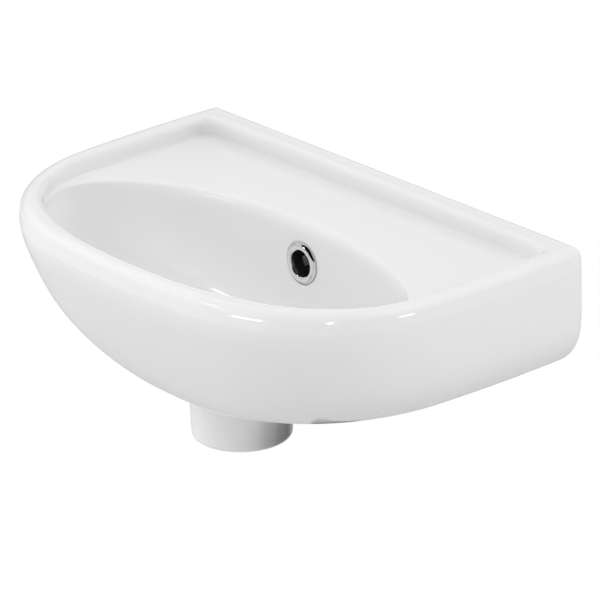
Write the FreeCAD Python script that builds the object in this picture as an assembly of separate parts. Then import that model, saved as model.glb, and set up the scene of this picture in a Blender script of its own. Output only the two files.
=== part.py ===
import FreeCAD, Part
import math
import os
from FreeCAD import Vector

# Small wall hung hand basin of vitreous china, with its overflow ring and wall fixings.
# Millimetres. X runs along the wall, +Y points into the wall, +Z is up.
# The origin lies on the wall, midway between the two fixing bolts.
# A depth is measured down from the top of the rim, a reach is measured out from the wall.

# Outline of the china body, seen from above
BODY_WIDTH = 361.0
BODY_REACH = 235.0
FRONT_RADIUS = 680.0
CORNER_RADIUS = 118.0
SIDE_RADIUS = 1000.0
SIDE_START_ANGLE = 86.0

# Rim
RIM_WIDTH = 15.5
FRONT_RIM_WIDTH = 14.0
BACK_RIM_WIDTH = 16.0
RIM_DRAFT = 1.3
PARTING_DEPTH = 14.0
RIM_OUTER_FILLET = 7.5
RIM_INNER_FILLET = 4.5
RIM_ROUNDING_ANGLE = 80.0
RIM_ROUNDING_ROWS = 4
BACK_EDGE_FILLET = 3.0

# Skirt and underside
BOWL_FLOOR_DEPTH = 98.0
BOWL_SKIN = 11.0
BODY_DEPTH = BOWL_FLOOR_DEPTH + BOWL_SKIN
SIDE_TURN_DEPTH = 34.0
SIDE_FULLNESS = 3.7
SIDE_ROUNDNESS = 1.35
UNDERSIDE_HALF_WIDTH = 60.0
UNDERSIDE_REACH = 178.0
UNDERSIDE_CORNER_RADIUS = 30.0
FRONT_TURN_DEPTH = 19.0
FRONT_ROUNDNESS = 1.55
SKIRT_ROWS = 16
SIDE_POINTS = 5
CORNER_POINTS = 13
FRONT_POINTS = 5

# Outlet
OUTLET_REACH = 132.5
OUTLET_BORE = 46.0
BOSS_LENGTH = 37.0
OUTLET_DEPTH = BODY_DEPTH + BOSS_LENGTH
BOSS_TOP_RADIUS = 35.0
BOSS_FOOT_RADIUS = 33.0
BOSS_FOOT_FILLET = 3.5
SUMP_RADIUS = 33.0

# Shelf and bowl
SHELF_DEPTH = 13.5
SHELF_FOOT_FILLET = 4.0
SHELF_CORNER_POWER = 22.0
SHELF_EDGE_FILLET = 8.0
CENTRE_REACH = 118.0
FRONT_POWER = 2.33
BOWL_BACK_REACH = 78.0
BOWL_BACK_RADIUS = 330.0
BOWL_CORNER_POWER = 7.0
SUMP_CORNER_POWER = 4.0
BOWL_SIDE_FULLNESS = 3.8
BOWL_SIDE_ROUNDNESS = 1.4
BOWL_FRONT_ROUNDNESS = 1.6
BOWL_BACK_FULLNESS = 3.2
BOWL_BACK_ROUNDNESS = 1.5
BOWL_ROWS = 12
TURN_POINTS = 80

# Hollow behind the bowl, open underneath
WALL = 10.0
HOLLOW_REACH = 80.0
HOLLOW_CORNER = 14.0
HOLLOW_STRAIGHT_DEPTH = 86.0
HOLLOW_ROWS = 6

# Overflow
OVERFLOW_DEPTH = 41.5
OVERFLOW_BORE = 22.0
OVERFLOW_SEAT = 30.0
OVERFLOW_SEAT_REACH = 77.6
CHANNEL_REACH = 69.0
CHANNEL_THROW = 12.0
CHANNEL_WIDTH = 26.0
CHANNEL_TOP_DEPTH = 27.0
CHANNEL_DROP = 6.0
CHANNEL_FOOT_DEPTH = BODY_DEPTH + CHANNEL_DROP
CHANNEL_SLOPE = 18.0
CHANNEL_WALL = 8.0
HOUSING_FILLET = 6.0

# Overflow ring and its sleeve
RING_DIAMETER = 28.0
RING_HOLE = 18.4
RING_HEIGHT = 3.2
RING_EDGE = 1.0
LEG_THICKNESS = 0.9
LEG_COUNT = 4
LEG_ANGLE = 46.0
BARB_HEIGHT = 1.5
BARB_LENGTH = 2.4
SLEEVE_CLEARANCE = 0.15

# Wall fixings
FIXING_SPACING = 200.0
FIXING_DEPTH = 62.0
FIXING_BORE = 15.0
STUD_RADIUS = 4.0
STUD_NECK_RADIUS = 3.6
STUD_IN_WALL = 58.0
STUD_OUT = 34.0
STUD_POINT = 9.0
STUD_CHAMFER = 0.8
THREAD_CLEARANCE = 0.1
BUSH_CLEARANCE = 0.4
BUSH_BORE_RADIUS = 4.15
BUSH_FLANGE_RADIUS = 13.0
BUSH_FLANGE = 3.0
BUSH_SHORT = 0.5
WASHER_RADIUS = 10.0
WASHER_THICKNESS = 1.6
NUT_ACROSS_FLATS = 13.0
NUT_HEIGHT = 6.5
NUT_CHAMFER = 0.7

TRIM_MARGIN = 6.0
OVERCUT = 4.0


def spot(x, y, depth):
    return Vector(x, y, FIXING_DEPTH - depth)


def fall(t, fullness, roundness):
    """1 at t = 0, falling to 0 at t = 1."""
    return max(0.0, 1.0 - t**fullness) ** (1.0 / roundness)


def share(value, start, end):
    """Where a value lies between start and end, held between 0 and 1."""
    return min(1.0, max(0.0, (value - start) / (end - start)))


def skin(rows, closed):
    """One smooth cubic surface drawn by rows of control points."""
    across = len(rows[0])
    down = len(rows)
    down_mults = [4] + [1] * (down - 4) + [4]
    across_mults = [1] * (across + 1) if closed else [4] + [1] * (across - 4) + [4]
    surface = Part.BSplineSurface()
    surface.buildFromPolesMultsKnots(
        rows,
        down_mults,
        across_mults,
        list(range(len(down_mults))),
        list(range(len(across_mults))),
        False,
        closed,
        3,
        3,
    )
    return surface


def capped(rows, closed):
    """The space inside a skin, closed flat at its first and last row."""
    surface = skin(rows, closed)
    faces = [surface.toShape()]
    first, last = surface.bounds()[0:2]
    for u, row in ((first, rows[0]), (last, rows[-1])):
        edges = [surface.uIso(u).toShape()]
        if not closed:
            edges.append(Part.LineSegment(row[-1], row[0]).toShape())
        faces.append(Part.Face(Part.Wire(edges)))
    if not closed:
        edges = [surface.vIso(v).toShape() for v in surface.bounds()[2:4]]
        edges.append(Part.LineSegment(rows[0][0], rows[0][-1]).toShape())
        edges.append(Part.LineSegment(rows[-1][0], rows[-1][-1]).toShape())
        faces.append(Part.Face(Part.Wire(Part.__sortEdges__(edges))))
    shell = Part.Shell(faces)
    shell.sewShape()
    solid = Part.Solid(shell)
    if solid.Volume < 0.0:
        solid.reverse()
    return solid


def skirt_size(depth):
    """Half width, reach and corner radius of the outside at a depth."""
    width_fall = fall(share(depth, SIDE_TURN_DEPTH, BODY_DEPTH), SIDE_FULLNESS, SIDE_ROUNDNESS)
    reach_fall = fall(share(depth, FRONT_TURN_DEPTH, BODY_DEPTH), 1.0, FRONT_ROUNDNESS)
    inset = RIM_DRAFT * (1.0 - share(depth, 0.0, PARTING_DEPTH))
    half_width = UNDERSIDE_HALF_WIDTH + (BODY_WIDTH / 2.0 - UNDERSIDE_HALF_WIDTH) * width_fall
    reach = UNDERSIDE_REACH + (BODY_REACH - UNDERSIDE_REACH) * reach_fall
    corner = UNDERSIDE_CORNER_RADIUS + (CORNER_RADIUS - UNDERSIDE_CORNER_RADIUS) * width_fall**0.7
    return half_width - inset, reach - inset, corner - inset


def on_arc(centre, radius, angle):
    return centre[0] + radius * math.sin(angle), centre[1] - radius * math.cos(angle)


def body_row(depth):
    """Nearly straight sides, round corners and a gently bowed front, from wall to wall."""
    half_width, reach, corner = skirt_size(depth)
    front = FRONT_RADIUS * math.sqrt(2.0 * half_width / BODY_WIDTH)
    turn = math.radians(SIDE_START_ANGLE)
    lean = (half_width - SIDE_RADIUS - (corner - SIDE_RADIUS) * math.sin(turn)) / (front - corner)
    front_angle = math.asin(lean)
    front_centre = (0.0, front - reach)
    corner_centre = on_arc(front_centre, front - corner, front_angle)
    side_centre = on_arc(corner_centre, corner - SIDE_RADIUS, turn)
    wall_angle = math.acos((side_centre[1] - TRIM_MARGIN) / SIDE_RADIUS)
    half = []
    for i in range(FRONT_POINTS):
        half.append(on_arc(front_centre, front, front_angle * i / FRONT_POINTS))
    for i in range(CORNER_POINTS):
        half.append(on_arc(corner_centre, corner, front_angle + (turn - front_angle) * i / CORNER_POINTS))
    for i in range(SIDE_POINTS + 1):
        half.append(on_arc(side_centre, SIDE_RADIUS, turn + (wall_angle - turn) * i / SIDE_POINTS))
    right = [spot(x, y, depth) for x, y in half]
    left = [spot(-x, y, depth) for x, y in half[1:]]
    return right[::-1] + left


def outside():
    depths = [0.0, 5.0, 10.0, 13.0]
    for i in range(SKIRT_ROWS + 1):
        t = math.sin(math.pi / 2.0 * i / SKIRT_ROWS)
        depths.append(PARTING_DEPTH + (BODY_DEPTH - PARTING_DEPTH) * t)
    block = capped([body_row(depth) for depth in depths], False)
    trim = Part.makeBox(1000.0, 100.0, 1000.0, Vector(-500.0, 0.0, -500.0))
    return block.cut(trim)


def boss():
    height = OUTLET_DEPTH - BOWL_FLOOR_DEPTH
    cone = Part.makeCone(BOSS_FOOT_RADIUS, BOSS_TOP_RADIUS, height, spot(0.0, -OUTLET_REACH, OUTLET_DEPTH))
    foot = [edge for edge in cone.Edges if edge.BoundBox.ZMax < FIXING_DEPTH - OUTLET_DEPTH + 1.0]
    return cone.makeFillet(BOSS_FOOT_FILLET, foot)


def round_join(a, b, power):
    """Radius of the shape common to two shapes, its corner rounded: a higher power is sharper."""
    return (a**-power + b**-power) ** (-1.0 / power)


def front_radius(angle, half_width, reach, power):
    across = abs(math.cos(angle)) / half_width
    ahead = max(0.0, -math.sin(angle)) / reach
    return (across**power + ahead**power) ** (-1.0 / power)


def arc_radius(angle, back, radius):
    """Distance to an arc that bows towards the wall and crosses the middle line at back."""
    offset = back - radius
    rise = offset * math.sin(angle)
    return rise + math.sqrt(rise * rise + radius * radius - offset * offset)


def back_share(angle):
    """0 along the front of the bowl, 1 along the shelf."""
    t = share(math.sin(angle), -0.05, 0.30)
    return t * t * (3.0 - 2.0 * t)


def recess_radius(angle, inset):
    """The inside of the rim, down to the shelf. The shelf's foot is only set in along the shelf."""
    set_in = inset * back_share(angle) if inset > 0.0 else inset
    half_width = BODY_WIDTH / 2.0 - RIM_WIDTH - set_in
    reach = BODY_REACH - FRONT_RIM_WIDTH - CENTRE_REACH - min(inset, 0.0)
    sides = front_radius(angle, half_width, reach, FRONT_POWER)
    if math.sin(angle) <= 0.0:
        return sides
    back = (CENTRE_REACH - BACK_RIM_WIDTH - set_in) / math.sin(angle)
    return round_join(sides, back, SHELF_CORNER_POWER)


def bowl_radius(angle, t):
    """The bowl wall: t is 0 under the shelf's edge and 1 at the sump."""
    side_fall = fall(t, BOWL_SIDE_FULLNESS, BOWL_SIDE_ROUNDNESS)
    front_fall = fall(t, 1.0, BOWL_FRONT_ROUNDNESS)
    back_fall = fall(t, BOWL_BACK_FULLNESS, BOWL_BACK_ROUNDNESS)
    centre = bowl_centre(t)
    half_width = SUMP_RADIUS + (BODY_WIDTH / 2.0 - RIM_WIDTH - SUMP_RADIUS) * side_fall
    front_end = OUTLET_REACH + SUMP_RADIUS
    reach = front_end + (BODY_REACH - FRONT_RIM_WIDTH - front_end) * front_fall - centre
    back_end = OUTLET_REACH - SUMP_RADIUS
    back = centre - back_end + (back_end - BOWL_BACK_REACH) * back_fall
    sides = front_radius(angle, half_width, reach, 2.0 + (FRONT_POWER - 2.0) * (1.0 - t))
    arc = arc_radius(angle, back, BOWL_BACK_RADIUS)
    power = BOWL_CORNER_POWER + (SUMP_CORNER_POWER - BOWL_CORNER_POWER) * t
    shape = round_join(sides, arc, power)
    sump_share = t**8
    return shape * (1.0 - sump_share) + SUMP_RADIUS * sump_share


def bowl_centre(t):
    return CENTRE_REACH + (OUTLET_REACH - CENTRE_REACH) * t * t


def turns():
    """Angles right round the bowl, closer together at the two corners of the shelf."""
    corner = math.atan2(CENTRE_REACH - BACK_RIM_WIDTH, BODY_WIDTH / 2.0 - RIM_WIDTH)
    fine = 2000
    steps = []
    total = 0.0
    for i in range(fine):
        angle = math.pi * ((i + 0.5) / fine - 0.5)
        total += 1.0 + 3.0 * math.exp(-(((angle - corner) / 0.16) ** 2))
        steps.append((total, angle))
    half = []
    count = TURN_POINTS // 2
    place = 0
    for i in range(1, count):
        while steps[place][0] < total * i / count:
            place += 1
        half.append(steps[place][1])
    return [-math.pi / 2.0] + half + [math.pi / 2.0] + [math.pi - angle for angle in reversed(half)]


def loop(radius_at, centre, depth_at):
    points = []
    for angle in turns():
        radius = radius_at(angle)
        points.append(spot(radius * math.cos(angle), radius * math.sin(angle) - centre, depth_at(angle)))
    return points


def recess_loop(inset, front_depth, back_depth):
    def depth_at(angle):
        return front_depth + (back_depth - front_depth) * back_share(angle)

    return loop(lambda angle: recess_radius(angle, inset), CENTRE_REACH, depth_at)


def rim_rounding():
    """Rows from above the rim, over its rounded inner edge, to its upright inner side."""
    radius = RIM_INNER_FILLET
    end = math.radians(RIM_ROUNDING_ANGLE)
    rows = []
    outset = radius * (1.0 - math.cos(end)) + OVERCUT * math.sin(end)
    depth = radius * (1.0 - math.sin(end)) - OVERCUT * math.cos(end)
    rows.append(recess_loop(-outset, depth, depth))
    for i in range(RIM_ROUNDING_ROWS + 1):
        angle = end * (1.0 - i / RIM_ROUNDING_ROWS)
        depth = radius * (1.0 - math.sin(angle))
        rows.append(recess_loop(radius * (math.cos(angle) - 1.0), depth, depth))
    return rows


def shelf_loop(part, outset, front_depth, back_depth):
    """A row across the shelf, part of the way from its foot to the edge of the bowl."""

    def radius_at(angle):
        start = recess_radius(angle, SHELF_FOOT_FILLET)
        end = bowl_radius(angle, 0.0) + outset * back_share(angle)
        return start + (min(start, end) - start) * part

    def depth_at(angle):
        return front_depth + (back_depth - front_depth) * back_share(angle)

    return loop(radius_at, CENTRE_REACH, depth_at)


def bowl_loop(t, depth, outset):
    return loop(lambda angle: bowl_radius(angle, t) + outset, bowl_centre(t), lambda angle: depth)


def cavity():
    """The recess inside the rim, the shelf and the bowl as one smooth surface."""
    foot = SHELF_DEPTH - SHELF_FOOT_FILLET
    edge = SHELF_DEPTH + SHELF_EDGE_FILLET
    rows = rim_rounding() + [recess_loop(0.0, foot, foot)]
    for i in (1, 2, 3):
        angle = math.pi / 6.0 * i
        inset = SHELF_FOOT_FILLET * (1.0 - math.cos(angle))
        rows.append(recess_loop(inset, foot + 0.9 * i, foot + SHELF_FOOT_FILLET * math.sin(angle)))
    for part in (0.12, 0.5, 0.88):
        rows.append(shelf_loop(part, SHELF_EDGE_FILLET, foot + 3.0 + 2.0 * part, SHELF_DEPTH))
    for i in (0, 1, 2, 3):
        angle = math.pi / 8.0 * i
        outset = SHELF_EDGE_FILLET * (1.0 - math.sin(angle))
        depth = SHELF_DEPTH + SHELF_EDGE_FILLET * (1.0 - math.cos(angle))
        rows.append(shelf_loop(1.0, outset, foot + 5.5 + 1.7 * i, depth))
    for i in range(BOWL_ROWS + 1):
        t = math.sin(math.pi / 2.0 * i / BOWL_ROWS)
        rows.append(bowl_loop(t, edge + (BOWL_FLOOR_DEPTH - edge) * t, 0.0))
    return capped(rows, True)


def bowl_skin():
    """The bowl and the china round it, from above the shelf to below the floor."""
    edge = SHELF_DEPTH + SHELF_EDGE_FILLET
    rows = [bowl_loop(0.0, 0.0, BOWL_SKIN)]
    for i in range(BOWL_ROWS + 1):
        t = math.sin(math.pi / 2.0 * i / BOWL_ROWS)
        rows.append(bowl_loop(t, edge + (BOWL_FLOOR_DEPTH - edge + BOWL_SKIN) * t, BOWL_SKIN))
    return capped(rows, True)


def rounded_rectangle(half_width, back, front, corner, depth):
    wire = Part.makePlane(2.0 * half_width, front - back, spot(-half_width, -front, depth)).OuterWire
    solid = Part.Face(wire).extrude(Vector(0.0, 0.0, 1.0))
    uprights = [edge for edge in solid.Edges if edge.BoundBox.ZLength > 0.5]
    solid = solid.makeFillet(corner, uprights)
    foot = [face for face in solid.Faces if face.CenterOfMass.z < FIXING_DEPTH - depth + 0.1]
    return foot[0].OuterWire


def hollow():
    """Open space between the bowl, the skirt and the wall panel."""
    top = SHELF_DEPTH + BOWL_SKIN
    wires = []
    for i in range(HOLLOW_ROWS + 1):
        depth = top + (HOLLOW_STRAIGHT_DEPTH - top) * i / HOLLOW_ROWS
        half_width = skirt_size(depth)[0] - WALL
        wires.append(rounded_rectangle(half_width, WALL, HOLLOW_REACH, HOLLOW_CORNER, depth))
    upper = Part.makeLoft(wires, True, False)
    foot = Part.Face(wires[-1]).extrude(Vector(0.0, 0.0, HOLLOW_STRAIGHT_DEPTH - OUTLET_DEPTH))
    return upper.fuse(foot).cut(bowl_skin()).cut(channel_housing())


def side_profile(points, width):
    """A profile of (reach, depth) points drawn on the middle plane and thickened both ways."""
    corners = [spot(-width / 2.0, -reach, depth) for reach, depth in points]
    face = Part.Face(Part.makePolygon(corners + corners[:1]))
    return face.extrude(Vector(width, 0.0, 0.0))


def channel():
    """Water way from the overflow hole down into the outlet."""
    back = CHANNEL_REACH - CHANNEL_THROW
    foot = CHANNEL_FOOT_DEPTH - CHANNEL_THROW
    end = OUTLET_REACH - OUTLET_BORE / 2.0 + CHANNEL_THROW
    points = [
        (CHANNEL_REACH, CHANNEL_TOP_DEPTH),
        (back, CHANNEL_TOP_DEPTH),
        (back, CHANNEL_FOOT_DEPTH - CHANNEL_SLOPE),
        (back + CHANNEL_SLOPE, CHANNEL_FOOT_DEPTH),
        (end, CHANNEL_FOOT_DEPTH),
        (end, foot),
        (CHANNEL_REACH + CHANNEL_THROW, foot),
        (CHANNEL_REACH, foot - CHANNEL_THROW),
    ]
    return side_profile(points, CHANNEL_WIDTH)


def channel_housing():
    """China round the water way; the lower edges that show underneath are rounded."""
    back = CHANNEL_REACH - CHANNEL_THROW - CHANNEL_WALL
    foot = CHANNEL_FOOT_DEPTH + CHANNEL_WALL
    end = OUTLET_REACH - SUMP_RADIUS + CHANNEL_WALL
    top = SHELF_DEPTH + CHANNEL_WALL / 2.0
    points = [
        (BOWL_BACK_REACH, top),
        (back, top),
        (back, foot - CHANNEL_SLOPE - CHANNEL_WALL),
        (back + CHANNEL_SLOPE + CHANNEL_WALL, foot),
        (end, foot),
        (end, BOWL_FLOOR_DEPTH + CHANNEL_WALL),
        (BOWL_BACK_REACH, BOWL_FLOOR_DEPTH - CHANNEL_WALL),
    ]
    solid = side_profile(points, CHANNEL_WIDTH + 2.0 * CHANNEL_WALL)
    ridges = []
    for edge in solid.Edges:
        middle = edge.CenterOfMass
        low = middle.z < FIXING_DEPTH - CHANNEL_FOOT_DEPTH + CHANNEL_WALL
        if edge.BoundBox.XLength < 0.1 and (low or middle.y > -back - 1.0):
            ridges.append(edge)
    return solid.makeFillet(HOUSING_FILLET, ridges)


def overflow_hole():
    centre = spot(0.0, -OVERFLOW_SEAT_REACH, OVERFLOW_DEPTH)
    length = OVERFLOW_SEAT_REACH - CHANNEL_REACH + 1.0
    hole = Part.makeCylinder(OVERFLOW_BORE / 2.0, length, centre, Vector(0.0, 1.0, 0.0))
    seat = Part.makeCylinder(OVERFLOW_SEAT / 2.0, RING_HEIGHT, centre, Vector(0.0, -1.0, 0.0))
    return hole.fuse(seat)


def fixing_holes():
    holes = []
    for side in (-1.0, 1.0):
        start = Vector(side * FIXING_SPACING / 2.0, -WALL - 1.0, 0.0)
        holes.append(Part.makeCylinder(FIXING_BORE / 2.0, WALL + 2.0, start, Vector(0.0, 1.0, 0.0)))
    return holes


def top_edges(shape, wall_side):
    """Edges of the rim's flat top: those on the wall, or all the others."""
    found = []
    for edge in shape.Edges:
        box = edge.BoundBox
        level = box.ZMin > FIXING_DEPTH - 0.01
        on_wall = box.YMin > -0.01
        if level and on_wall == wall_side:
            found.append(edge)
    return found


def back_rounding():
    """What comes off the rim's edge along the wall."""
    corner = Vector(-BODY_WIDTH, -BACK_EDGE_FILLET, FIXING_DEPTH - BACK_EDGE_FILLET)
    size = BACK_EDGE_FILLET + OVERCUT
    bar = Part.makeBox(2.0 * BODY_WIDTH, size, size, corner)
    return bar.cut(Part.makeCylinder(BACK_EDGE_FILLET, 2.0 * BODY_WIDTH, corner, Vector(1.0, 0.0, 0.0)))


def basin_body():
    body = outside()
    body = body.makeFillet(RIM_OUTER_FILLET, top_edges(body, False))
    body = body.cut(back_rounding())
    body = body.cut(hollow()).fuse([boss(), channel_housing()])
    body = body.cut(cavity())
    start = spot(0.0, -OUTLET_REACH, OUTLET_DEPTH + OVERCUT)
    bore = Part.makeCylinder(OUTLET_BORE / 2.0, OUTLET_DEPTH, start)
    return body.cut([bore, channel(), overflow_hole()] + fixing_holes()).removeSplitter()


def revolved(points, start, angle):
    """A profile of (radius, distance out from start) points turned about an axis along Y."""
    corners = [start + Vector(radius, -out, 0.0) for radius, out in points]
    face = Part.Face(Part.makePolygon(corners + corners[:1]))
    return face.revolve(start, Vector(0.0, 1.0, 0.0), angle)


def overflow_start():
    return spot(0.0, -OVERFLOW_SEAT_REACH, OVERFLOW_DEPTH)


def overflow_ring():
    inner = RING_HOLE / 2.0
    outer = RING_DIAMETER / 2.0
    start = overflow_start()
    crown = inner + (outer - inner) * 0.42
    corners = [(inner, RING_HEIGHT - 0.9), (inner, 0.0), (outer, 0.0), (outer, RING_EDGE)]
    points = [start + Vector(radius, -out, 0.0) for radius, out in corners]
    edges = [Part.LineSegment(a, b).toShape() for a, b in zip(points, points[1:])]
    edges.append(Part.Arc(points[-1], start + Vector(crown, -RING_HEIGHT, 0.0), points[0]).toShape())
    ring = Part.Face(Part.Wire(edges)).revolve(start, Vector(0.0, 1.0, 0.0), 360.0)
    leg = inner + LEG_THICKNESS
    wall = OVERFLOW_SEAT_REACH - CHANNEL_REACH + SLEEVE_CLEARANCE
    profile = [
        (inner, RING_EDGE / 2.0),
        (leg, RING_EDGE / 2.0),
        (leg, -wall),
        (leg + BARB_HEIGHT, -wall - BARB_HEIGHT / 4.0),
        (leg, -wall - BARB_LENGTH),
        (inner, -wall - BARB_LENGTH),
    ]
    legs = []
    for i in range(LEG_COUNT):
        one = revolved(profile, start, LEG_ANGLE)
        one.rotate(start, Vector(0.0, 1.0, 0.0), 360.0 / LEG_COUNT * i)
        legs.append(one)
    return ring.fuse(legs).removeSplitter()


def overflow_sleeve():
    outer = OVERFLOW_BORE / 2.0 - SLEEVE_CLEARANCE
    inner = RING_HOLE / 2.0 + LEG_THICKNESS + SLEEVE_CLEARANCE
    length = OVERFLOW_SEAT_REACH - CHANNEL_REACH - SLEEVE_CLEARANCE
    start = -SLEEVE_CLEARANCE
    profile = [(inner, start), (outer, start), (outer, -length), (inner, -length)]
    return revolved(profile, overflow_start(), 360.0)


def hanger_bolt(x):
    """Wood thread in the wall, machine thread in front of it."""
    profile = [
        (0.0, STUD_OUT),
        (STUD_NECK_RADIUS - STUD_CHAMFER, STUD_OUT),
        (STUD_NECK_RADIUS, STUD_OUT - STUD_CHAMFER),
        (STUD_NECK_RADIUS, 0.0),
        (STUD_RADIUS, 0.0),
        (STUD_RADIUS, STUD_POINT - STUD_IN_WALL),
        (STUD_CHAMFER / 2.0, -STUD_IN_WALL),
        (0.0, -STUD_IN_WALL),
    ]
    return revolved(profile, Vector(x, 0.0, 0.0), 360.0)


def fixing_bush(x):
    outer = FIXING_BORE / 2.0 - BUSH_CLEARANCE
    profile = [
        (BUSH_BORE_RADIUS, BUSH_SHORT),
        (outer, BUSH_SHORT),
        (outer, WALL),
        (BUSH_FLANGE_RADIUS, WALL),
        (BUSH_FLANGE_RADIUS, WALL + BUSH_FLANGE),
        (BUSH_BORE_RADIUS, WALL + BUSH_FLANGE),
    ]
    return revolved(profile, Vector(x, 0.0, 0.0), 360.0)


def fixing_washer(x):
    back = WALL + BUSH_FLANGE
    front = back + WASHER_THICKNESS
    profile = [
        (BUSH_BORE_RADIUS, back),
        (WASHER_RADIUS, back),
        (WASHER_RADIUS, front),
        (BUSH_BORE_RADIUS, front),
    ]
    return revolved(profile, Vector(x, 0.0, 0.0), 360.0)


def fixing_nut(x):
    back = WALL + BUSH_FLANGE + WASHER_THICKNESS
    front = back + NUT_HEIGHT
    corner = NUT_ACROSS_FLATS / math.sqrt(3.0)
    points = []
    for i in range(7):
        angle = math.pi / 3.0 * i
        points.append(Vector(x + corner * math.cos(angle), -front, corner * math.sin(angle)))
    hexagon = Part.Face(Part.makePolygon(points)).extrude(Vector(0.0, NUT_HEIGHT, 0.0))
    bore = STUD_NECK_RADIUS + THREAD_CLEARANCE
    turned = [
        (bore, back),
        (corner - NUT_CHAMFER, back),
        (corner, back + NUT_CHAMFER / 2.0),
        (corner, front - NUT_CHAMFER / 2.0),
        (corner - NUT_CHAMFER, front),
        (bore, front),
    ]
    return hexagon.common(revolved(turned, Vector(x, 0.0, 0.0), 360.0))


def write(shape, name):
    solids = shape.Solids
    whole = solids[0] if len(solids) == 1 else shape
    whole.exportStep("parts/" + name + ".step")


def main():
    os.makedirs("parts", exist_ok=True)
    write(basin_body(), "basin_body")
    write(overflow_ring(), "overflow_ring")
    write(overflow_sleeve(), "overflow_sleeve")
    for side, name in ((-1.0, "left"), (1.0, "right")):
        x = side * FIXING_SPACING / 2.0
        write(hanger_bolt(x), "hanger_bolt_" + name)
        write(fixing_bush(x), "fixing_bush_" + name)
        write(fixing_washer(x), "fixing_washer_" + name)
        write(fixing_nut(x), "fixing_nut_" + name)


main()
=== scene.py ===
"""Looks of the wall hung basin: glazed china, chrome ring, threaded fixings, stage and camera."""

import math

import bpy
from mathutils import Matrix, Vector


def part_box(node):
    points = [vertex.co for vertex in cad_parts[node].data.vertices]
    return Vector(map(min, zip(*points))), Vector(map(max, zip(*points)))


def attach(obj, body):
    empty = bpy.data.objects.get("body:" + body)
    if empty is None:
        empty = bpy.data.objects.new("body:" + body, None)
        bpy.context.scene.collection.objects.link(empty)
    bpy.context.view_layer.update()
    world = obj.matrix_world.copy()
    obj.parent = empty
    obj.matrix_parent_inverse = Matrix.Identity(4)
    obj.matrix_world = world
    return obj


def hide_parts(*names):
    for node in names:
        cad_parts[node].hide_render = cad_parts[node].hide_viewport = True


bl_info = {
    "name": "Wall Hung Basin",
    "version": (1, 0, 0),
    "blender": (4, 5, 0),
    "location": "View3D > Sidebar > Basin",
    "description": "Finishes, fixings, stage and camera for a small wall hung basin",
    "category": "Object",
}

SIDES = ("left", "right")

# Corners of more than this angle stay sharp in smooth shading.
CAD_CREASE = math.radians(35.0)
THREAD_CREASE = math.radians(50.0)

# The hanger bolts' threads. Roots and the tip are shares of the bolt's radius, ridges of the pitch.
# The last ridge is the share of its height that a thread keeps at its end.
RINGS_PER_TURN = 10
RING_POINTS = 40
MACHINE_ROOT = 0.82
MACHINE_RIDGE = 0.9
WOOD_ROOT = 0.7
WOOD_RIDGE = 0.55
WOOD_POINT_RADII = 2.4
WOOD_TIP = 0.12
LAST_RIDGE = 0.3
PLAIN_SHANK = 0.0012

# Roughness of the china.
GLAZE_UNEVENNESS = 0.03
BARE_ROUGHNESS = 0.75
BARE_GRAIN_HEIGHT = 0.00012

FLOOR_REACH = 6.0
LAMP_DISTANCE = 2.5
LAMP_AIM = Vector((0.0, -0.12, 0.02))
WATTS_PER_SQUARE_METRE = 4.0

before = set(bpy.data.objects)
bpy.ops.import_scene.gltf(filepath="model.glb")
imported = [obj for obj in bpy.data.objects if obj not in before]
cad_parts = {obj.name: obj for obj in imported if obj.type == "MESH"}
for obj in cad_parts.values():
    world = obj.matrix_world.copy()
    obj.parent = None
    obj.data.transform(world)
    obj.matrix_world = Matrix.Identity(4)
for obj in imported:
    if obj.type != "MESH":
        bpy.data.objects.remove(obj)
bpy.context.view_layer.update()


class Link:
    """A shader socket that can be used in Python sums."""

    def __init__(self, shader, socket):
        self.shader = shader
        self.socket = socket

    def math(self, operation, *values):
        return self.shader.node("ShaderNodeMath", {"operation": operation}, *values)

    def __add__(self, other):
        return self.math("ADD", self, other)

    def __radd__(self, other):
        return self.math("ADD", other, self)

    def __sub__(self, other):
        return self.math("SUBTRACT", self, other)

    def __rsub__(self, other):
        return self.math("SUBTRACT", other, self)

    def __mul__(self, other):
        return self.math("MULTIPLY", self, other)

    def __rmul__(self, other):
        return self.math("MULTIPLY", other, self)

    def __gt__(self, other):
        return self.math("GREATER_THAN", self, other)

    def __lt__(self, other):
        return self.math("LESS_THAN", self, other)

    def at_least(self, other):
        return self.math("MAXIMUM", self, other)

    def between(self, low, high):
        """Runs evenly from low at 0 to high at 1."""
        return self * (high - low) + low

    def ramp(self, start, end, low=0.0, high=1.0):
        """Runs smoothly from low at start to high at end."""
        settings = {"interpolation_type": "SMOOTHSTEP"}
        return self.shader.node("ShaderNodeMapRange", settings, self, start, end, low, high)


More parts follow.
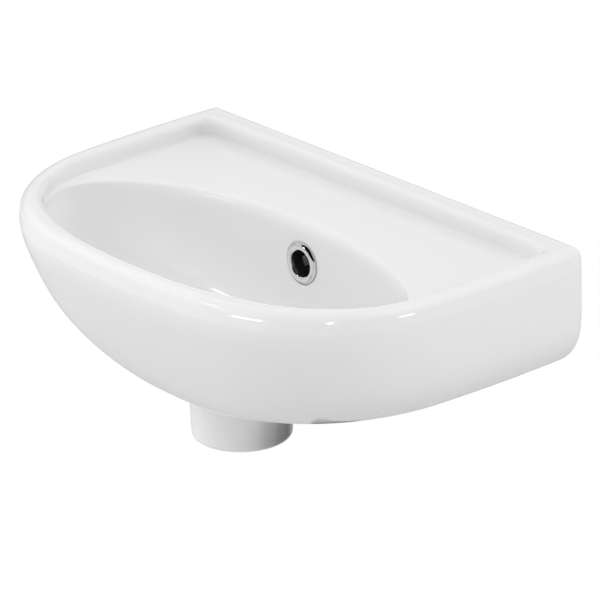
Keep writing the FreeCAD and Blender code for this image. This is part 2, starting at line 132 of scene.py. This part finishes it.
class Shader:
    """Builds the nodes of one material or world."""

    def __init__(self, owner):
        owner.use_nodes = True
        self.tree = owner.node_tree
        self.tree.nodes.clear()

    def node(self, kind, settings, *values, output=0, **named):
        """Adds a node, sets it up, and feeds its sockets by place or by name."""
        node = self.tree.nodes.new(kind)
        for key, value in settings.items():
            setattr(node, key, value)
        for i, value in enumerate(values):
            self.feed(node.inputs[i], value)
        for key, value in named.items():
            self.feed(find_socket(node.inputs, key), value)
        return Link(self, find_socket(node.outputs, output))

    def feed(self, socket, value):
        if isinstance(value, Link):
            self.tree.links.new(value.socket, socket)
        else:
            socket.default_value = value

    def mix(self, factor, first, second):
        """Blends two colours."""
        return self.node(
            "ShaderNodeMix",
            {"data_type": "RGBA"},
            output="Result_Color",
            Factor_Float=factor,
            A_Color=first,
            B_Color=second,
        )

    def mottle(self, factor, colour, darkest, palest):
        """One colour, from its darkest to its palest share."""
        return self.mix(factor, scaled(colour, darkest), scaled(colour, palest))

    def place(self, output="Object"):
        """Position in the part's own frame, in metres, or direction in a world."""
        return self.node("ShaderNodeTexCoord", {}, output=output)

    def axes(self, vector):
        """X, Y and Z of a vector."""
        split = self.node("ShaderNodeSeparateXYZ", {}, vector)
        return [Link(self, socket) for socket in split.socket.node.outputs]

    def dot(self, first, second):
        """Dot product of two vectors."""
        settings = {"operation": "DOT_PRODUCT"}
        return self.node("ShaderNodeVectorMath", settings, first, second, output="Value")

    def ray(self, kind):
        """1 for rays of one kind, 0 for all others."""
        return self.node("ShaderNodeLightPath", {}, output=kind)

    def noise(self, size, detail=2.0, roughness=0.5):
        """Noise from 0 to 1 whose grains are about size metres across."""
        return self.node(
            "ShaderNodeTexNoise",
            {},
            Vector=self.place(),
            Scale=1.0 / size,
            Detail=detail,
            Roughness=roughness,
        )

    def bump(self, height, depth=1.0):
        """Relief in the shading. A height of 1 stands out by depth metres."""
        return self.node("ShaderNodeBump", {}, Height=height, Distance=depth)

    def surface(self, **sockets):
        self.finish(self.node("ShaderNodeBsdfPrincipled", {}, **sockets))

    def finish(self, shader, output="ShaderNodeOutputMaterial"):
        self.feed(self.tree.nodes.new(output).inputs["Surface"], shader)


def find_socket(sockets, key):
    """A socket by its number, its identifier, or its name with underscores for spaces."""
    if isinstance(key, int):
        return sockets[key]
    for socket in sockets:
        if socket.identifier == key:
            return socket
    return sockets[key.replace("_", " ")]


def scaled(colour, factor):
    return (colour[0] * factor, colour[1] * factor, colour[2] * factor, 1.0)


def grey(level):
    return (level, level, level, 1.0)


def glazed_china(settings):
    """White glaze with a faint ripple, left off on the wall face and on the foot of the boss."""
    material = bpy.data.materials.new("glazed_china")
    shader = Shader(material)
    y, z = shader.axes(shader.place())[1:]
    low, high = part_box("basin_body")
    bare = (y > high.y - settings.bare_depth).at_least(z < low.z + settings.bare_depth)
    cloud = shader.noise(size=0.09)
    pits = shader.noise(size=0.0011, detail=1.0)
    glaze = shader.mottle(cloud, settings.glaze, darkest=0.985, palest=1.015)
    body = shader.mottle(pits, settings.bisque, darkest=0.9, palest=1.05)
    ripple = shader.noise(size=0.012, detail=1.0) * (1.0 - bare)
    grain = shader.noise(size=0.0006) * bare
    gloss = cloud * GLAZE_UNEVENNESS + settings.gloss_roughness
    shader.surface(
        Base_Color=shader.mix(bare, glaze, body),
        Roughness=gloss * (1.0 - bare) + bare * BARE_ROUGHNESS,
        IOR=1.5,
        Normal=shader.bump(ripple * settings.ripple + grain * BARE_GRAIN_HEIGHT),
    )
    return material


def chrome(settings):
    """Plating on the ring's face. Its legs behind the face are bare black plastic."""
    material = bpy.data.materials.new("polished_chrome")
    shader = Shader(material)
    y = shader.axes(shader.place())[1]
    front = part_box("overflow_ring")[0].y
    face = y < front + settings.plated_depth
    black = grey(0.012)
    haze = shader.noise(size=0.004, detail=3.0)
    plating = shader.mottle(haze, settings.chrome, darkest=0.95, palest=1.0)
    dullness = (1.0 - face) * 0.4
    shader.surface(
        Base_Color=shader.mix(face, black, plating),
        Metallic=face,
        Roughness=haze.between(0.04, 0.1) + dullness,
    )
    return material


def black_rubber():
    material = bpy.data.materials.new("black_rubber")
    shader = Shader(material)
    black = (0.008, 0.008, 0.009, 1.0)
    charcoal = (0.02, 0.02, 0.021, 1.0)
    grain = shader.noise(size=0.0008, detail=3.0)
    shader.surface(
        Base_Color=shader.mix(grain, black, charcoal),
        Roughness=grain.between(0.5, 0.7),
        Normal=shader.bump(grain, depth=0.00005),
    )
    return material


def zinc_plate():
    """Bright zinc: pale metal with faint spangles and handling marks."""
    material = bpy.data.materials.new("zinc_plate")
    shader = Shader(material)
    dull = (0.46, 0.47, 0.49, 1.0)
    bright = (0.68, 0.69, 0.70, 1.0)
    spangle = shader.noise(size=0.0025, detail=4.0, roughness=0.6)
    marks = shader.noise(size=0.0007)
    shader.surface(
        Base_Color=shader.mix(spangle, dull, bright),
        Metallic=1.0,
        Roughness=spangle.between(0.2, 0.45),
        Normal=shader.bump(marks, depth=0.00002),
    )
    return material


def nylon():
    material = bpy.data.materials.new("natural_nylon")
    shader = Shader(material)
    cream = (0.70, 0.68, 0.61, 1.0)
    ivory = (0.78, 0.76, 0.70, 1.0)
    cloud = shader.noise(size=0.006)
    grain = shader.noise(size=0.0005)
    shader.surface(
        Base_Color=shader.mix(cloud, cream, ivory),
        Roughness=grain.between(0.38, 0.48),
        Subsurface_Weight=0.15,
        Subsurface_Scale=0.002,
        Normal=shader.bump(grain, depth=0.00003),
    )
    return material


def dress(node, material):
    """Gives a CAD node its material and smooth shading with sharp corners kept."""
    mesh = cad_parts[node].data
    mesh.materials.clear()
    mesh.materials.append(material)
    for polygon in mesh.polygons:
        polygon.use_smooth = True
    mesh.set_sharp_from_angle(angle=CAD_CREASE)


def add_object(name, data):
    """Puts a mesh, lamp or camera in the scene."""
    piece = bpy.data.objects.new(name, data)
    bpy.context.scene.collection.objects.link(piece)
    return piece


def thread_height(turn, ridge_share):
    """Height of a thread's ridge, 0 to 1. Turn counts pitches, with a ridge at each half."""
    from_ridge = abs(turn % 1.0 - 0.5) * 2.0
    return max(0.0, 1.0 - from_ridge / ridge_share)


def thread_rings(x, start, end, pitch, radius, root_share, ridge_share, point_length=0.0):
    """Rings of a threaded shank along Y. The last point_length of it narrows to a tip."""
    root = radius * root_share
    count = max(2, round(abs(end - start) / pitch * RINGS_PER_TURN))
    rings = []
    for i in range(count + 1):
        y = start + (end - start) * i / count
        remaining = abs(end - y)
        narrowing = 1.0
        if point_length:
            narrowing = min(1.0, WOOD_TIP + (1.0 - WOOD_TIP) * remaining / point_length)
        fade = min(1.0, abs(y - start) / pitch, remaining / pitch + LAST_RIDGE)
        ring = []
        for j in range(RING_POINTS):
            angle = 2.0 * math.pi * j / RING_POINTS
            height = thread_height(y / pitch - j / RING_POINTS, ridge_share) * fade
            reach = (root + (radius - root) * height) * narrowing
            ring.append((x + reach * math.cos(angle), y, reach * math.sin(angle)))
        rings.append(ring)
    return rings


def tube(name, rings, material):
    """A smooth tube through rings of as many points each, closed by a face at both ends."""
    count = len(rings[0])
    points = [point for ring in rings for point in ring]
    faces = []
    for first in range(0, len(points) - count, count):
        for j in range(count):
            k = (j + 1) % count
            faces.append((first + j, first + k, first + count + k, first + count + j))
    faces.append(tuple(range(count)))
    faces.append(tuple(reversed(range(len(points) - count, len(points)))))
    mesh = bpy.data.meshes.new(name)
    mesh.from_pydata(points, [], faces)
    mesh.validate()
    for polygon in mesh.polygons:
        polygon.use_smooth = True
    mesh.set_sharp_from_angle(angle=THREAD_CREASE)
    mesh.materials.append(material)
    return add_object(name, mesh)


def flat_sheet(name, corners, material):
    """A flat sheet with four corners."""
    mesh = bpy.data.meshes.new(name)
    mesh.from_pydata(corners, [], [(0, 1, 2, 3)])
    mesh.materials.append(material)
    return add_object(name, mesh)


def stage_paint(name, grain, darkest, palest, camera_sees, **sockets):
    """Dull grey paint, in place of which the camera sees another surface."""
    material = bpy.data.materials.new(name)
    shader = Shader(material)
    paint = shader.mix(shader.noise(size=grain), grey(darkest), grey(palest))
    dull = shader.node("ShaderNodeBsdfDiffuse", {}, Color=paint)
    other = shader.node(camera_sees, {}, **sockets)
    shader.finish(shader.node("ShaderNodeMixShader", {}, shader.ray("Is Camera Ray"), dull, other))
    return material


def stage_floor(drop):
    """A pale floor below the basin, plain white to the camera."""
    paint = stage_paint(
        "pale_floor",
        grain=0.4,
        darkest=0.62,
        palest=0.64,
        camera_sees="ShaderNodeEmission",
        Color=grey(1.0),
        Strength=1.0,
    )
    signs = ((-1, -1), (1, -1), (1, 1), (-1, 1))
    corners = [(x * FLOOR_REACH, y * FLOOR_REACH, -drop) for x, y in signs]
    floor = flat_sheet("floor", corners, paint)


def shade_card():
    """A dark upright card under the right of the basin, clear to the camera."""
    paint = stage_paint(
        "dark_card",
        grain=0.01,
        darkest=0.03,
        palest=0.05,
        camera_sees="ShaderNodeBsdfTransparent",
    )
    front = (0.075, -0.14)
    back = (0.025, -0.05)
    top = -0.06
    foot = -0.13
    corners = [(*front, top), (*back, top), (*back, foot), (*front, foot)]
    card = flat_sheet("shade_card", corners, paint)


def toward(azimuth, elevation):
    """A direction. Azimuth 0 is straight out from the wall, a quarter turn the basin's right."""
    level = math.cos(elevation)
    return Vector((math.sin(azimuth) * level, -math.cos(azimuth) * level, math.sin(elevation)))


def studio_world(side_level, top_level):
    """White to the camera. For light it is a pale room, brighter above, with a dark patch low on
    the camera's side and two more, high up, that only reflections show."""
    world = bpy.data.worlds.new("studio")
    bpy.context.scene.world = world
    shader = Shader(world)
    direction = shader.place("Generated")
    height = shader.axes(direction)[2]

    def patch(azimuth, elevation, edge, core, depth=1.0):
        """Rises to depth near a direction, from edge to core, two cosines of the angle to it."""
        middle = toward(math.radians(azimuth), math.radians(elevation))
        return shader.dot(direction, middle).ramp(edge, core, high=depth)

    room = height.ramp(start=0.0, end=0.4, low=side_level, high=top_level)
    shade = patch(azimuth=62, elevation=-8, edge=0.55, core=0.95, depth=0.9)
    overhead = patch(azimuth=0, elevation=62, edge=0.72, core=0.85)
    over_camera = patch(azimuth=34, elevation=36, edge=0.75, core=0.88)
    unreflected = shader.ray("Is Glossy Ray") * overhead.at_least(over_camera)
    level = room * (1.0 - shade) * (1.0 - unreflected)
    seen = shader.ray("Is Camera Ray")
    strength = seen + (1.0 - seen) * level
    background = shader.node("ShaderNodeBackground", {}, grey(1.0), strength)
    shader.finish(background, "ShaderNodeOutputWorld")


def lamp(name, azimuth, elevation, size, brightness, glints=True, fills=True):
    """A soft box aimed at the basin. It can be kept out of the reflections, or light only them."""
    width, height = size
    away = toward(math.radians(azimuth), math.radians(elevation))
    data = bpy.data.lights.new(name, "AREA")
    data.shape = "RECTANGLE"
    data.size = width
    data.size_y = height
    data.energy = WATTS_PER_SQUARE_METRE * width * height * brightness
    piece = add_object(name, data)
    piece.location = LAMP_AIM + away * LAMP_DISTANCE
    piece.rotation_euler = away.to_track_quat("Z", "Y").to_euler()
    piece.visible_glossy = glints
    piece.visible_diffuse = fills


def bowl_spot(place, target, watts):
    """A focused lamp that opens up the shaded end of the bowl."""
    data = bpy.data.lights.new("bowl_spot", "SPOT")
    data.energy = watts
    data.spot_size = math.radians(9.0)
    data.spot_blend = 1.0
    data.shadow_soft_size = 0.15
    piece = add_object("bowl_spot", data)
    piece.location = place
    piece.rotation_euler = (place - target).to_track_quat("Z", "Y").to_euler()


def camera(settings):
    """A long lens, aimed by its turn, height angle and roll."""
    azimuth = settings.view_azimuth
    roll = settings.view_roll
    back = toward(azimuth, settings.view_elevation)
    level_right = Vector((math.cos(azimuth), math.sin(azimuth), 0.0))
    level_up = back.cross(level_right)
    right = level_right * math.cos(roll) + level_up * math.sin(roll)
    up = back.cross(right)
    data = bpy.data.cameras.new("camera")
    data.sensor_width = 36.0
    data.lens = settings.view_lens
    data.clip_end = 50.0
    piece = add_object("camera", data)
    facing = Matrix((right, up, back)).transposed().to_4x4()
    piece.matrix_world = Matrix.Translation(settings.view_place) @ facing
    bpy.context.scene.camera = piece


class BasinSettings(bpy.types.PropertyGroup):
    glaze: bpy.props.FloatVectorProperty(
        name="Glaze",
        description="Colour of the glazed china",
        subtype="COLOR",
        size=3,
        default=(0.88, 0.88, 0.88),
    )
    bisque: bpy.props.FloatVectorProperty(
        name="Bisque",
        description="Colour of the unglazed china on the wall face and foot",
        subtype="COLOR",
        size=3,
        default=(0.66, 0.63, 0.58),
    )
    chrome: bpy.props.FloatVectorProperty(
        name="Chrome",
        description="Colour of the plated ring",
        subtype="COLOR",
        size=3,
        default=(0.78, 0.79, 0.81),
    )
    gloss_roughness: bpy.props.FloatProperty(
        name="Glaze roughness",
        description="Roughness of the glaze at its smoothest",
        subtype="FACTOR",
        min=0.0,
        max=1.0,
        default=0.05,
    )
    plated_depth: bpy.props.FloatProperty(
        name="Plated depth",
        description="Depth of the overflow ring's plated face",
        unit="LENGTH",
        precision=5,
        default=0.0033,
    )
    ripple: bpy.props.FloatProperty(
        name="Ripple",
        description="Height of the slow ripple in the glaze",
        unit="LENGTH",
        precision=6,
        default=0.00002,
    )
    bare_depth: bpy.props.FloatProperty(
        name="Bare band",
        description="How far the unglazed part reaches in from the wall face and the foot",
        unit="LENGTH",
        precision=5,
        default=0.0004,
    )
    wood_pitch: bpy.props.FloatProperty(
        name="Wood pitch",
        description="Pitch of the thread in the wall",
        unit="LENGTH",
        precision=5,
        default=0.0034,
    )
    machine_pitch: bpy.props.FloatProperty(
        name="Machine pitch",
        description="Pitch of the nut's thread",
        unit="LENGTH",
        precision=5,
        default=0.00125,
    )
    floor_drop: bpy.props.FloatProperty(
        name="Floor drop",
        description="Height of the fixings above the floor",
        unit="LENGTH",
        default=0.45,
    )
    view_azimuth: bpy.props.FloatProperty(
        name="View azimuth",
        description="Turn of the camera",
        subtype="ANGLE",
        default=math.radians(48.65),
    )
    view_elevation: bpy.props.FloatProperty(
        name="View elevation",
        description="Height angle of the camera",
        subtype="ANGLE",
        default=math.radians(22.66),
    )
    view_roll: bpy.props.FloatProperty(
        name="View roll",
        description="Roll of the camera",
        subtype="ANGLE",
        default=math.radians(-0.82),
    )
    view_lens: bpy.props.FloatProperty(
        name="View lens",
        description="Focal length of the camera",
        unit="CAMERA",
        default=325.84,
    )
    view_place: bpy.props.FloatVectorProperty(
        name="View place",
        description="Where the camera stands",
        unit="LENGTH",
        size=3,
        default=(2.4551, -2.2414, 1.3606),
    )


class BASIN_OT_china(bpy.types.Operator):
    """Glaze the china body"""

    bl_idname = "basin.china"
    bl_label = "China body"

    def execute(self, context):
        dress("basin_body", glazed_china(context.scene.basin))
        return {"FINISHED"}


class BASIN_OT_overflow(bpy.types.Operator):
    """Plate the overflow ring and blacken its sleeve"""

    bl_idname = "basin.overflow"
    bl_label = "Overflow"

    def execute(self, context):
        dress("overflow_ring", chrome(context.scene.basin))
        dress("overflow_sleeve", black_rubber())
        return {"FINISHED"}


class BASIN_OT_fixings(bpy.types.Operator):
    """Cut the threads of the hanger bolts and finish the bushes, washers and nuts"""

    bl_idname = "basin.fixings"
    bl_label = "Wall fixings"

    def execute(self, context):
        settings = context.scene.basin
        zinc = zinc_plate()
        plastic = nylon()
        for side in SIDES:
            bolt = "hanger_bolt_" + side
            low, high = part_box(bolt)
            x = (low.x + high.x) / 2.0
            radius = (high.x - low.x) / 2.0
            machine = thread_rings(
                x,
                start=-PLAIN_SHANK,
                end=low.y,
                pitch=settings.machine_pitch,
                radius=radius,
                root_share=MACHINE_ROOT,
                ridge_share=MACHINE_RIDGE,
            )
            wood = thread_rings(
                x,
                start=0.0,
                end=high.y,
                pitch=settings.wood_pitch,
                radius=radius,
                root_share=WOOD_ROOT,
                ridge_share=WOOD_RIDGE,
                point_length=radius * WOOD_POINT_RADII,
            )
            piece = tube("bolt_threads_" + side, machine[::-1] + wood, zinc)
            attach(piece, "root")
            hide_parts(bolt)
            dress("fixing_bush_" + side, plastic)
            dress("fixing_washer_" + side, zinc)
            dress("fixing_nut_" + side, zinc)
        return {"FINISHED"}


class BASIN_OT_stage(bpy.types.Operator):
    """Lay the floor, hang the lamps and set the camera"""

    bl_idname = "basin.stage"
    bl_label = "Stage"

    def execute(self, context):
        settings = context.scene.basin
        stage_floor(settings.floor_drop)
        shade_card()
        studio_world(side_level=0.25, top_level=0.7)
        lamp("front", azimuth=4, elevation=0, size=(0.9, 0.35), brightness=8.5)
        lamp("right", azimuth=98, elevation=0, size=(0.45, 0.25), brightness=8.0)
        lamp("front_high", azimuth=-30, elevation=38, size=(0.4, 0.25), brightness=6.0)
        lamp("corner", azimuth=53, elevation=6, size=(0.17, 0.3), brightness=20.0, fills=False)
        lamp("front_top", azimuth=-20, elevation=55, size=(1.0, 0.8), brightness=1.3, glints=False)
        lamp("front_left", azimuth=-42, elevation=10, size=(1.2, 0.8), brightness=1.4, glints=False)
        lamp("left", azimuth=-80, elevation=2, size=(2.4, 1.6), brightness=1.3, glints=False)
        lamp("corner_high", azimuth=60, elevation=45, size=(1.0, 0.8), brightness=3.2, glints=False)
        lamp("right_low", azimuth=127, elevation=5, size=(1.4, 1.0), brightness=2.3, glints=False)
        lamp("back_high", azimuth=170, elevation=50, size=(1.4, 1.0), brightness=0.9, glints=False)
        bowl_spot(place=Vector((0.9, 0.1, 1.2)), target=Vector((-0.11, -0.16, 0.0)), watts=19.0)
        camera(settings)
        context.scene.view_settings.view_transform = "Standard"
        return {"FINISHED"}


class BASIN_PT_sidebar(bpy.types.Panel):
    bl_label = "Wall Hung Basin"
    bl_idname = "BASIN_PT_sidebar"
    bl_space_type = "VIEW_3D"
    bl_region_type = "UI"
    bl_category = "Basin"

    def draw(self, context):
        for name in BasinSettings.__annotations__:
            self.layout.prop(context.scene.basin, name)
        for operator in OPERATORS:
            self.layout.operator(operator.bl_idname)


OPERATORS = (BASIN_OT_china, BASIN_OT_overflow, BASIN_OT_fixings, BASIN_OT_stage)
CLASSES = (BasinSettings,) + OPERATORS + (BASIN_PT_sidebar,)


def register():
    for cls in CLASSES:
        bpy.utils.register_class(cls)
    bpy.types.Scene.basin = bpy.props.PointerProperty(type=BasinSettings)


def unregister():
    del bpy.types.Scene.basin
    for cls in reversed(CLASSES):
        bpy.utils.unregister_class(cls)


def main():
    register()
    bpy.ops.basin.china()
    bpy.ops.basin.overflow()
    bpy.ops.basin.fixings()
    bpy.ops.basin.stage()
    bpy.context.view_layer.update()


if __name__ == "__main__":
    main()
